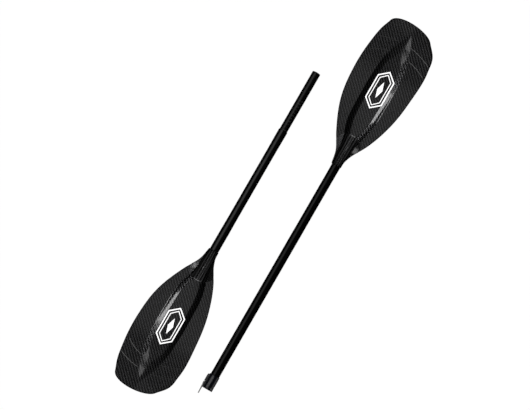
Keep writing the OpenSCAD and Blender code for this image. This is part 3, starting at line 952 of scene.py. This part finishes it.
def lozenge():
    """Path and widths of the solid lozenge in the emblem's middle."""
    share = np.linspace(-1, 1, 25)
    path = [(EMBLEM_AT + 0.42 * EMBLEM_HALF_LEN * a, 0) for a in share]
    return path, 0.58 * EMBLEM_HALF_WID * (1 - np.abs(share)) + 0.3 * MM


def emblem(half):
    """Generic decoration: a black hexagon band with white outlines round a white lozenge."""
    step = 2 * MM
    stroke = 3.8 * MM
    lift = 0.10 * MM
    outer = ribbon(half, densify(hexagon(stroke / 2), step, True), stroke, lift, True)
    inner = ribbon(half, densify(hexagon(EMBLEM_BAND), step, True), 0.7 * stroke, lift, True)
    centre = ribbon(half, *lozenge(), lift, False)
    obj = mesh_object(f"{half.side}_emblem", *join_parts([outer, inner, centre]))
    finish_piece(obj, half.body, WHITE_INK)
    middle_of_band = hexagon((stroke + EMBLEM_BAND) / 2)
    width = EMBLEM_BAND - 0.2 * stroke
    band = ribbon(half, densify(middle_of_band, step, True), width, 0.5 * lift, True)
    obj = mesh_object(f"{half.side}_emblem_band", *band)
    return finish_piece(obj, half.body, BLACK_INK)


def pinstripes(half):
    """Bowed lines on each panel near the tip; one panel's lines are a painted highlight, the other's painted shade."""
    lines = [
        ((400, 92), (417, 25)),
        ((355, 90), (379, 34)),
        ((417, -20), (394, -93)),
        ((379, -33), (357, -95)),
    ]
    parts = {1: [], -1: []}
    for (ax, ay), (bx, by) in lines:
        path = []
        for k in range(31):
            q = k / 30
            bow = 4 * 3.0 * q * (1 - q)
            path.append(((mix(ax, bx, q) + bow) * MM, mix(ay, by, q) * MM * 0.98))
        parts[1 if ay > 0 else -1].append(ribbon(half, path, 1.5 * MM, 0.03 * MM, False))
    # The lighter ink on one panel is a painted highlight, the darker ink on the other painted shade.
    for panel, ink in ((-half.way, PAINTED_HIGHLIGHT_STRIPE_INK), (half.way, PAINTED_SHADE_STRIPE_INK)):
        name = f"{half.side}_pinstripes" if panel == -half.way else f"{half.side}_pinstripes_painted_shade"
        obj = mesh_object(name, *join_parts(parts[panel]))
        finish_piece(obj, half.body, ink)


# ---------------------------------------------------------------- shafts


def shaft(half, grip_from, grip_to, grip_r, inner):
    """Tube from (x, radius) stations; inner is its bore's profile, back to the open end."""
    low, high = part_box(f"{half.side}_shaft")
    open_x = low.x if half.way > 0 else high.x
    closed_x = high.x if half.way > 0 else low.x
    chamfer = 0.5 * MM

    def at(distance):
        return open_x + half.way * distance

    profile = [(at(0), SHAFT_R - chamfer), (at(chamfer), SHAFT_R)]
    ease = 60 * MM
    for k in range(13):
        q = k / 12
        profile.append((at(grip_from - ease * (1 - q)), mix(SHAFT_R, grip_r, float(smooth(q)))))
    for k in range(13):
        q = k / 12
        profile.append((at(grip_to + ease * q), mix(grip_r, SHAFT_R, float(smooth(q)))))
    profile += [(closed_x, SHAFT_R), (closed_x, inner[0][1])]
    profile += [(at(d), r) for d, r in inner]
    return mesh_object(f"{half.side}_tube", *revolve_faces(profile, half.axis_y, 128))


def right_shaft():
    socket = 239.4 * MM
    liner = BORE_R - 0.25 * MM
    inner = [(socket, liner), (socket, BORE_R), (0.4 * MM, BORE_R), (0, BORE_R + 0.4 * MM)]
    obj = shaft(RIGHT, 585 * MM, 730 * MM, SHAFT_R - 0.25 * MM, inner)
    slits = []
    for side in (-1, 1):
        slit = box_object("slit", (-1 * MM, SPIGOT_R - 2 * MM, -0.6 * MM), (40.6 * MM, SPIGOT_R + 4 * MM, 0.6 * MM))
        slit.rotation_euler = (math.radians(50 * side), 0, 0)
        slits.append(slit)
    carve(obj, slits)
    return finish_piece(obj, RIGHT_BODY, SHAFT_CARBON["right"], ("right_shaft",))


def left_shaft():
    inner = [(0.4 * MM, BORE_R), (0, BORE_R + 0.4 * MM)]
    obj = shaft(LEFT, 70 * MM, 300 * MM, SHAFT_R - 0.5 * MM, inner)
    return finish_piece(obj, LEFT_BODY, SHAFT_CARBON["left"], ("left_shaft",))


# ---------------------------------------------------------------- spigot


def spigot():
    low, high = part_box("spigot_tube")
    inner = SPIGOT_R - 1.5 * MM
    glued = 80 * MM
    soft = 0.4 * MM
    profile = [
        (high.x, inner),
        (high.x, SPIGOT_R - soft),
        (high.x - soft, SPIGOT_R),
        (low.x + glued, SPIGOT_R),
        (low.x + glued, SPIGOT_R - soft),
        (low.x, SPIGOT_R - soft),
        (low.x, inner),
    ]
    obj = mesh_object("spigot", *revolve_faces(profile, AXIS_LEFT, 128))
    return finish_piece(obj, LEFT_BODY, SPIGOT_CARBON, ("spigot_tube",))


def end_cap():
    """Rubber cap: a domed flange with a shallow ring in it, and ribs on its plug."""
    low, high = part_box("spigot_end_cap")
    flange = SPIGOT_R - 0.5 * MM
    plug = SPIGOT_R - 1.55 * MM
    dome = 1.8 * MM
    bulge = (flange**2 + dome**2) / (2 * dome)
    top = high.x
    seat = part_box("spigot_tube")[1].x + 0.03 * MM
    steps = 24
    ring = 0.62
    profile = []
    for k in range(steps + 1):
        r = max(flange * math.sin(math.pi / 2 * k / steps), 0.05 * MM)
        groove = 0.35 * MM * math.exp(-(((r / flange - ring) / 0.04) ** 2))
        profile.append((top - bulge + math.sqrt(bulge**2 - r**2) - groove, r))
    profile += [(seat, flange), (seat, plug)]
    for k in range(3):
        x = seat - (2 + 3.3 * k) * MM
        profile += [(x, plug), (x - 0.4 * MM, plug - 0.4 * MM), (x - 1.2 * MM, plug - 0.4 * MM), (x - 1.6 * MM, plug)]
    profile += [(low.x + 1 * MM, plug), (low.x, plug - 1 * MM), (low.x, 0.05 * MM)]
    obj = mesh_object("end_cap", *revolve_faces(profile, AXIS_LEFT, 96))
    return finish_piece(obj, "insert_carrier", CAP_RUBBER, ("spigot_end_cap",), sharp=50)


def wrap_on_spigot(points, lift):
    """Points (x, distance round the tube, level) laid onto the spigot's power-face side."""
    placed = []
    for x, round_y, level in points:
        angle = math.pi / 2 - round_y / SPIGOT_R
        r = SPIGOT_R + (lift if level else -0.05 * MM)
        placed.append((x, AXIS_LEFT + r * math.cos(angle), r * math.sin(angle)))
    return placed


SEGMENTS = {
    "0": "abcdef",
    "1": "bc",
    "2": "abged",
    "3": "abgcd",
    "4": "fgbc",
    "5": "afgcd",
    "6": "afgedc",
    "7": "abc",
    "8": "abcdefg",
    "9": "abcdfg",
}
SEGMENT_BARS = {
    "a": (0, 1, 1, 1),
    "b": (1, 1, 1, 0.5),
    "c": (1, 0.5, 1, 0),
    "d": (1, 0, 0, 0),
    "e": (0, 0, 0, 0.5),
    "f": (0, 0.5, 0, 1),
    "g": (0, 0.5, 1, 0.5),
}


def flat_bar(ax, ay, bx, by, width, lift):
    """A short printed bar between two (x, round) points on the spigot, as a closed solid."""
    length = math.hypot(bx - ax, by - ay)
    ux, uy = (bx - ax) / length, (by - ay) / length
    ax, ay, bx, by = ax - ux * width / 2, ay - uy * width / 2, bx + ux * width / 2, by + uy * width / 2
    nx, ny = -uy * width / 2, ux * width / 2
    count = 5
    top = []
    for k in range(count):
        q = k / (count - 1)
        x, y = mix(ax, bx, q), mix(ay, by, q)
        top.append([(x + nx, y + ny), (x - nx, y - ny)])
    upper = np.array([wrap_on_spigot([(x, y, 1) for x, y in row], lift) for row in top])
    lower = np.array([wrap_on_spigot([(x, y, 0) for x, y in row], lift) for row in top])
    return sheet_faces(upper, lower)


def length_scale():
    """Printed centimetre scale: a dash and a number for each step."""
    low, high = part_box("spigot_scale")
    marks = 11
    pitch = (high.x - low.x - 0.9 * MM) / (marks - 1)
    dash_round = middle("spigot_scale").y - AXIS_LEFT
    ink = 0.7 * MM
    lift = 0.02 * MM
    digit_w, digit_h = 1.9 * MM, 2.9 * MM
    parts = []
    for k in range(marks):
        x = low.x + 0.45 * MM + k * pitch
        long_dash = 2.4 * MM if k % 5 == 0 else 1.6 * MM
        parts.append(flat_bar(x, dash_round - long_dash, x, dash_round + long_dash, ink, lift))
        text = str(k)
        for n, char in enumerate(text):
            base_x = x - digit_h / 2
            base_round = dash_round - 4.4 * MM - n * (digit_w + 0.8 * MM)
            for key in SEGMENTS[char]:
                ua, va, ub, vb = SEGMENT_BARS[key]
                parts.append(
                    flat_bar(
                        base_x + va * digit_h,
                        base_round - ua * digit_w,
                        base_x + vb * digit_h,
                        base_round - ub * digit_w,
                        0.42 * MM,
                        lift,
                    )
                )
    obj = mesh_object("length_scale", *join_parts(parts))
    return finish_piece(obj, LEFT_BODY, SCALE_INK, ("spigot_scale",), sharp=60)


# ---------------------------------------------------------------- clamp

COLLAR_LOW, COLLAR_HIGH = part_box("clamp_collar")
COLLAR_R = -COLLAR_LOW.y
COLLAR_LEN = COLLAR_HIGH.x
LUG_TOP = COLLAR_HIGH.y
LUG_W = 17.2 * MM
PIN = middle("lever_pin")
PIN_R = (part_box("lever_pin")[1].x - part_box("lever_pin")[0].x) / 2
SCREW = middle("tension_screw")
LEVER_LOW, LEVER_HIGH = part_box("clamp_lever")
SLOT_W = LEVER_HIGH.z - LEVER_LOW.z + 0.4 * MM


def collar():
    """Moulded collar: ribbed sleeve, fork for the lever, grooves and an entry lip."""
    soft = 1.3 * MM
    bore = SHAFT_R + 0.05 * MM
    profile = [(0, bore), (0, COLLAR_R - 0.8 * MM)]
    profile += [(soft * 0.25, COLLAR_R - 0.25 * MM), (soft * 0.7, COLLAR_R)]
    for groove_x in (14.4 * MM, 40.5 * MM):
        profile += [
            (groove_x, COLLAR_R),
            (groove_x + 0.25 * MM, COLLAR_R - 0.55 * MM),
            (groove_x + 1.15 * MM, COLLAR_R - 0.55 * MM),
            (groove_x + 1.4 * MM, COLLAR_R),
        ]
    profile += [(COLLAR_LEN - 2.2 * MM, COLLAR_R), (COLLAR_LEN - 0.9 * MM, COLLAR_R - 0.4 * MM)]
    profile += [(COLLAR_LEN, COLLAR_R - 1.3 * MM), (COLLAR_LEN, bore)]
    obj = mesh_object("collar", *revolve_faces(profile, 0.0, 128))
    corner = 4 * MM
    lug_len = 45 * MM
    outline = [(0.3 * MM, 13 * MM), (lug_len, 13 * MM)]
    outline += arc((lug_len - corner, LUG_TOP - corner), corner, 0, 90, 9)
    outline += [(13.6 * MM, LUG_TOP)]
    outline += [(11.6 * MM, LUG_TOP - 0.5 * MM), (9 * MM, 18.2 * MM), (7 * MM, 17.5 * MM), (0.3 * MM, 17 * MM)]
    lug = extruded_object("lug", outline, -LUG_W / 2, LUG_W / 2)
    soften(lug, 0.8 * MM, 3, 50)
    carve(obj, [lug], "UNION")
    shaft_space = cylinder_object("bore", (-1 * MM, 0, 0), (COLLAR_LEN + 1 * MM, 0, 0), bore, 128)
    slot = box_object("slot", (-1 * MM, COLLAR_R + 0.3 * MM, -SLOT_W / 2), (23.2 * MM, 40 * MM, SLOT_W / 2))
    well = box_object("well", (14.8 * MM, 15.5 * MM, -SLOT_W / 2), (23.2 * MM, 40 * MM, SLOT_W / 2))
    pocket = box_object("pocket", (11.9 * MM, 10 * MM, -3.9 * MM), (40.1 * MM, 16.5 * MM, 3.9 * MM))
    pin_hole = cylinder_object("pin_hole", (PIN.x, PIN.y, -LUG_W), (PIN.x, PIN.y, LUG_W), PIN_R + 0.02 * MM)
    screw_hole = cylinder_object("screw_hole", (SCREW.x, 8 * MM, 0), (SCREW.x, 30 * MM, 0), 2.05 * MM)
    sinks = []
    for side in (-1, 1):
        face_z_at = side * LUG_W / 2
        sinks.append(
            cylinder_object("sink", (PIN.x, PIN.y, face_z_at - side * 0.5 * MM), (PIN.x, PIN.y, face_z_at * 1.5), 2.1 * MM)
        )
        sinks.append(
            cylinder_object(
                "thumb_cut", (5 * MM, 20.5 * MM, face_z_at - side * 1.6 * MM), (5 * MM, 20.5 * MM, face_z_at * 1.5), 5 * MM
            )
        )
    carve(obj, [shaft_space, slot, well, pocket, pin_hole, screw_hole] + sinks)
    return finish_piece(obj, RIGHT_BODY, COLLAR_NYLON, ("clamp_collar",), sharp=32)


def lever():
    """Pressed steel lever: a channel with a thumb tab, and the cam between its cheeks."""
    cam_r = 2.5 * MM
    cam_offset = 0.5 * MM
    cam_turn = math.radians(240)
    half_w = (LEVER_HIGH.z - LEVER_LOW.z) / 2
    root = (PIN.x - 8 * MM, PIN.y + 0.6 * MM)
    root_half = 2.4 * MM
    tip_r = 1.6 * MM
    tip = (LEVER_LOW.x + tip_r, PIN.y - 0.65 * MM)
    steps = 8
    bow = 0.35 * MM
    outline = [(PIN.x, PIN.y + cam_r + 0.2 * MM), (PIN.x - 3 * MM, root[1] + root_half - 0.1 * MM)]
    for k in range(steps + 1):
        q = k / steps
        sag = bow * math.sin(math.pi * q)
        outline.append((mix(root[0], tip[0], q), mix(root[1] + root_half, tip[1] + tip_r, q) - sag))
    outline += arc(tip, tip_r, 95, 265, 9)
    for k in range(1, steps + 1):
        q = k / steps
        outline.append((mix(tip[0], root[0], q), mix(tip[1] - tip_r, root[1] - root_half, q)))
    outline += [(PIN.x - 2.0 * MM, PIN.y - 1.3 * MM)]
    outline += arc((PIN.x, PIN.y), 2.2 * MM, 215, 450, 15)[:-1]
    obj = extruded_object("lever", outline, -half_w, half_w)
    sheet = 1.2 * MM
    channel_low = (tip[0] + 3.5 * MM, PIN.y - 5 * MM, -half_w + sheet)
    channel_high = (root[0] + 3.5 * MM, PIN.y + 0.9 * MM, half_w - sheet)
    carve(obj, [box_object("channel", channel_low, channel_high)])
    soften(obj, 0.4 * MM, 3, 40)
    cam_at = (PIN.x + cam_offset * math.cos(cam_turn), PIN.y + cam_offset * math.sin(cam_turn))
    cam_z = half_w - 0.4 * MM
    carve(obj, [cylinder_object("cam", (*cam_at, -cam_z), (*cam_at, cam_z), cam_r, 64)], "UNION")
    eye_z = 2 * half_w
    carve(obj, [cylinder_object("eye", (PIN.x, PIN.y, -eye_z), (PIN.x, PIN.y, eye_z), PIN_R + 0.05 * MM)])
    return finish_piece(obj, "lever", LEVER_STEEL, ("clamp_lever",), sharp=35)


def pin():
    """Pin with a domed head pressed onto each end."""
    shank = LUG_W / 2
    head_r = 2.3 * MM
    head_rise = 0.7 * MM
    steps = 6
    half_profile = [(shank, PIN_R), (shank, head_r)]
    for k in range(1, steps + 1):
        a = math.pi / 2 * k / steps
        half_profile.append((shank + head_rise * math.sin(a), max(head_r * math.cos(a), 0.03 * MM)))
    profile = [(-z, r) for z, r in half_profile[::-1]] + half_profile
    angles = np.linspace(0, 2 * math.pi, 48, endpoint=False)
    rings = [[(PIN.x + r * math.cos(a), PIN.y + r * math.sin(a), z) for z, r in profile] for a in angles]
    obj = mesh_object("pin", *loft_faces(np.array(rings), closed=True))
    return finish_piece(obj, RIGHT_BODY, PIN_STEEL, ("lever_pin",), sharp=30)


def rivets():
    """Domed rivet heads on the collar."""
    parts = []
    low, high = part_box("collar_rivets")
    x = (low.x + high.x) / 2
    for side in (-1, 1):
        turn = math.radians(121.8) * side
        direction = Vector((0, math.cos(turn), math.sin(turn)))
        across = Vector((0, -math.sin(turn), math.cos(turn)))
        profile = [(BORE_R + 0.3 * MM, 1.45 * MM), (COLLAR_R - 0.05 * MM, 1.45 * MM), (COLLAR_R - 0.05 * MM, 2.1 * MM)]
        for k in range(1, 7):
            a = math.radians(90 * k / 6)
            profile.append((COLLAR_R + 0.55 * MM * math.sin(a), max(2.1 * MM * math.cos(a), 0.05 * MM)))
        rings = []
        for k in range(40):
            a = 2 * math.pi * k / 40
            rings.append([Vector((x, 0, 0)) + direction * h + Vector((1, 0, 0)) * (r * math.cos(a)) + across * (r * math.sin(a)) for h, r in profile])
        rings = np.array([[tuple(p) for p in ring] for ring in rings])
        count, n = rings.shape[:2]
        points, faces = loft_faces(rings, closed=True)
        faces = [f for f in faces if not (n - 1 in (f[0] % n, f[1] % n) and 0 in (f[0] % n, f[1] % n))]
        faces.append(tuple(k * n for k in range(count)))
        faces.append(tuple(k * n + n - 1 for k in range(count)))
        parts.append((points, faces))
    obj = mesh_object("rivets", *join_parts(parts))
    return finish_piece(obj, RIGHT_BODY, RIVET_ALLOY, ("collar_rivets",), sharp=50)


def node_material(node, material):
    """A CAD node that stays as it is, with its own material."""
    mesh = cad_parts[node].data
    mesh.materials.clear()
    mesh.materials.append(material)


# ---------------------------------------------------------------- build

for half in HALVES:
    blade_skin(half, 1)
    blade_skin(half, -1)
    blade_rim(half)
    neck_wrap(half)
    emblem(half)
    pinstripes(half)
right_shaft()
left_shaft()
spigot()
end_cap()
length_scale()
collar()
lever()
pin()
rivets()
node_material("pressure_shoe", SHOE_STEEL)
node_material("tension_screw", PIN_STEEL)
for core in ("right_blade_core", "left_blade_core"):
    node_material(core, CORE_FOAM)
for bung in ("right_shaft_bung", "left_shaft_bung", "spigot_bung"):
    node_material(bung, BUNG_FOAM)


# ---------------------------------------------------------------- studio

LOW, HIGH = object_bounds()
CENTRE = (LOW + HIGH) / 2


def floor():
    """Glowing white table; it is clear from below, so that the back faces can be seen."""
    size = 8.0
    drop = 0.04
    z = LOW.z - drop
    mesh = bpy.data.meshes.new("floor")
    corners = [(-size, -size), (size, -size), (size, size), (-size, size)]
    mesh.from_pydata([(CENTRE.x + x, CENTRE.y + y, z) for x, y in corners], [], [(0, 1, 2, 3)])
    obj = bpy.data.objects.new("floor", mesh)
    bpy.context.scene.collection.objects.link(obj)
    obj.visible_glossy = False
    obj.visible_diffuse = False
    obj.visible_shadow = False
    paint = Paint("floor_white")
    paint.set(
        Base_Color=(0.8, 0.8, 0.8, 1.0),
        Roughness=0.9,
        Emission_Color=(1.0, 1.0, 1.0, 1.0),
        Emission_Strength=1.0,
        Alpha=paint.math("SUBTRACT", 1.0, paint.node("ShaderNodeNewGeometry").outputs["Backfacing"]),
    )
    mesh.materials.append(paint.material)
    return obj


def soft_box(name, target, lean, distance, size, glow, receivers, tilt=0):
    """Soft light over a target, lean degrees towards +Y and tilt towards +X; glow is its radiance."""
    data = bpy.data.lights.new(name, "AREA")
    data.shape = "RECTANGLE"
    data.size, data.size_y = size
    data.energy = glow * math.pi * size[0] * size[1]
    obj = bpy.data.objects.new(name, data)
    turn = Euler((-math.radians(lean), math.radians(tilt), 0))
    obj.location = Vector(target) + turn.to_matrix() @ Vector((0, 0, distance))
    obj.rotation_euler = turn
    bpy.context.scene.collection.objects.link(obj)
    group = bpy.data.collections.new(name + "_receivers")
    for piece in receivers:
        group.objects.link(piece)
    obj.light_linking.receiver_collection = group
    return obj


def world_light(level):
    """A dim even light on the paddle; the camera sees the surroundings as pale as the floor."""
    world = bpy.data.worlds.new("studio")
    world.use_nodes = True
    tree = world.node_tree
    background = tree.nodes["Background"]
    background.inputs["Color"].default_value = (1.0, 1.0, 1.0, 1.0)
    rays = tree.nodes.new("ShaderNodeLightPath")
    strength = tree.nodes.new("ShaderNodeMapRange")
    strength.inputs["To Min"].default_value = level
    strength.inputs["To Max"].default_value = 1.0
    tree.links.new(rays.outputs["Is Camera Ray"], strength.inputs["Value"])
    tree.links.new(strength.outputs["Result"], background.inputs["Strength"])
    bpy.context.scene.world = world


def camera():
    """Straight above the paddle, turned so that the shafts rise to the right at 60 degrees."""
    data = bpy.data.cameras.new("camera")
    data.type = "ORTHO"
    data.ortho_scale = 1.59
    obj = bpy.data.objects.new("camera", data)
    aim_shift = Vector((-0.0071, 0.0299, 0))
    obj.location = CENTRE + aim_shift + Vector((0, 0, 3.0))
    obj.rotation_euler = (0, 0, math.radians(-60))
    bpy.context.scene.collection.objects.link(obj)
    bpy.context.scene.camera = obj


def pieces_named(*names):
    return [bpy.data.objects[name] for name in names]


def light_paddle():
    """Each blade is lit from its own side; the shafts get a broad dim band from the +Y side."""
    for half, side in ((RIGHT, -1), (LEFT, 1)):
        skins = pieces_named(*(f"{half.side}_{part}" for part in ("blade_front", "blade_back", "blade_edge")))
        sock = pieces_named(f"{half.side}_neck_sock")
        prints = pieces_named(
            *(f"{half.side}_{part}" for part in ("emblem", "emblem_band", "pinstripes", "pinstripes_painted_shade"))
        )

        def over(share, aside=0.0):
            return (half.neck_x + half.way * share * BLADE_LEN, half.axis_y + aside, 0)

        def lit(name, *settings, tilt=0):
            soft_box(f"{half.side}_{name}", *settings, tilt=tilt)

        lit("key", over(0.37), 44 * side, 0.6, (0.12, 0.34), 7.0, skins + prints)
        lit("glint", over(0.87), 19 * side, 0.6, (0.10, 0.12), 1.7, skins + prints)
        lit("above", over(0.27), 0, 0.8, (0.15, 0.30), 0.27, skins + prints)
        lit("wide", over(0.5), 0, 2.0, (1.6, 1.0), 0.06, skins + prints)
        lit("tip_sheen", over(0.63), 6 * side, 0.8, (0.07, 0.14), 0.14, skins + prints)
        lit("weave", over(0.6), 0, 1.2, (0.6, 0.6), 1.35, skins + prints, tilt=32 * half.way)
        lit("sock_weave", over(0.15), 0, 1.2, (0.6, 0.6), 2.9, sock, tilt=32 * half.way)
        lit("sock_top", over(0.12), 0, 0.35, (0.24, 0.025), 0.9, sock)
        lit("sock_band", over(0.1), -32 * side, 0.8, (0.4, 0.16), 0.35, sock)
        lit("sock_key", over(0.2), 47 * side, 0.6, (0.3, 0.36), 0.15, sock)
        lit("shoulder", over(0.137, 0.028 * side), 0, 0.2, (0.016, 0.014), 5.0, sock)
        lit("under", over(0.5), 180, 1.2, (1.2, 0.6), 0.5, skins + sock)
    left_tubes = pieces_named("left_tube", "spigot", "end_cap", "length_scale")
    clamp = pieces_named("collar", "lever", "pin", "rivets", "pressure_shoe", "tension_screw")
    centre = (CENTRE.x, CENTRE.y, 0)
    soft_box("right_band", centre, 32, 1.6, (2.6, 1.4), 0.26, pieces_named("right_tube"))
    soft_box("left_band", centre, 32, 1.6, (2.6, 1.4), 0.53, left_tubes)
    soft_box("under_shafts", centre, 180, 1.2, (2.6, 0.3), 0.5, left_tubes + pieces_named("right_tube"))
    soft_box("clamp_key", (0.02, 0, 0), 26, 1.0, (0.6, 0.84), 1.8, clamp)
    soft_box("clamp_fill", (0.02, 0, 0), -92, 1.0, (0.6, 0.8), 0.8, clamp)
    soft_box("under_clamp", (0.02, 0, 0), 180, 1.0, (0.6, 0.4), 1.2, clamp)


floor()
world_light(0.008)
light_paddle()
camera()
bpy.context.scene.view_settings.view_transform = "Standard"
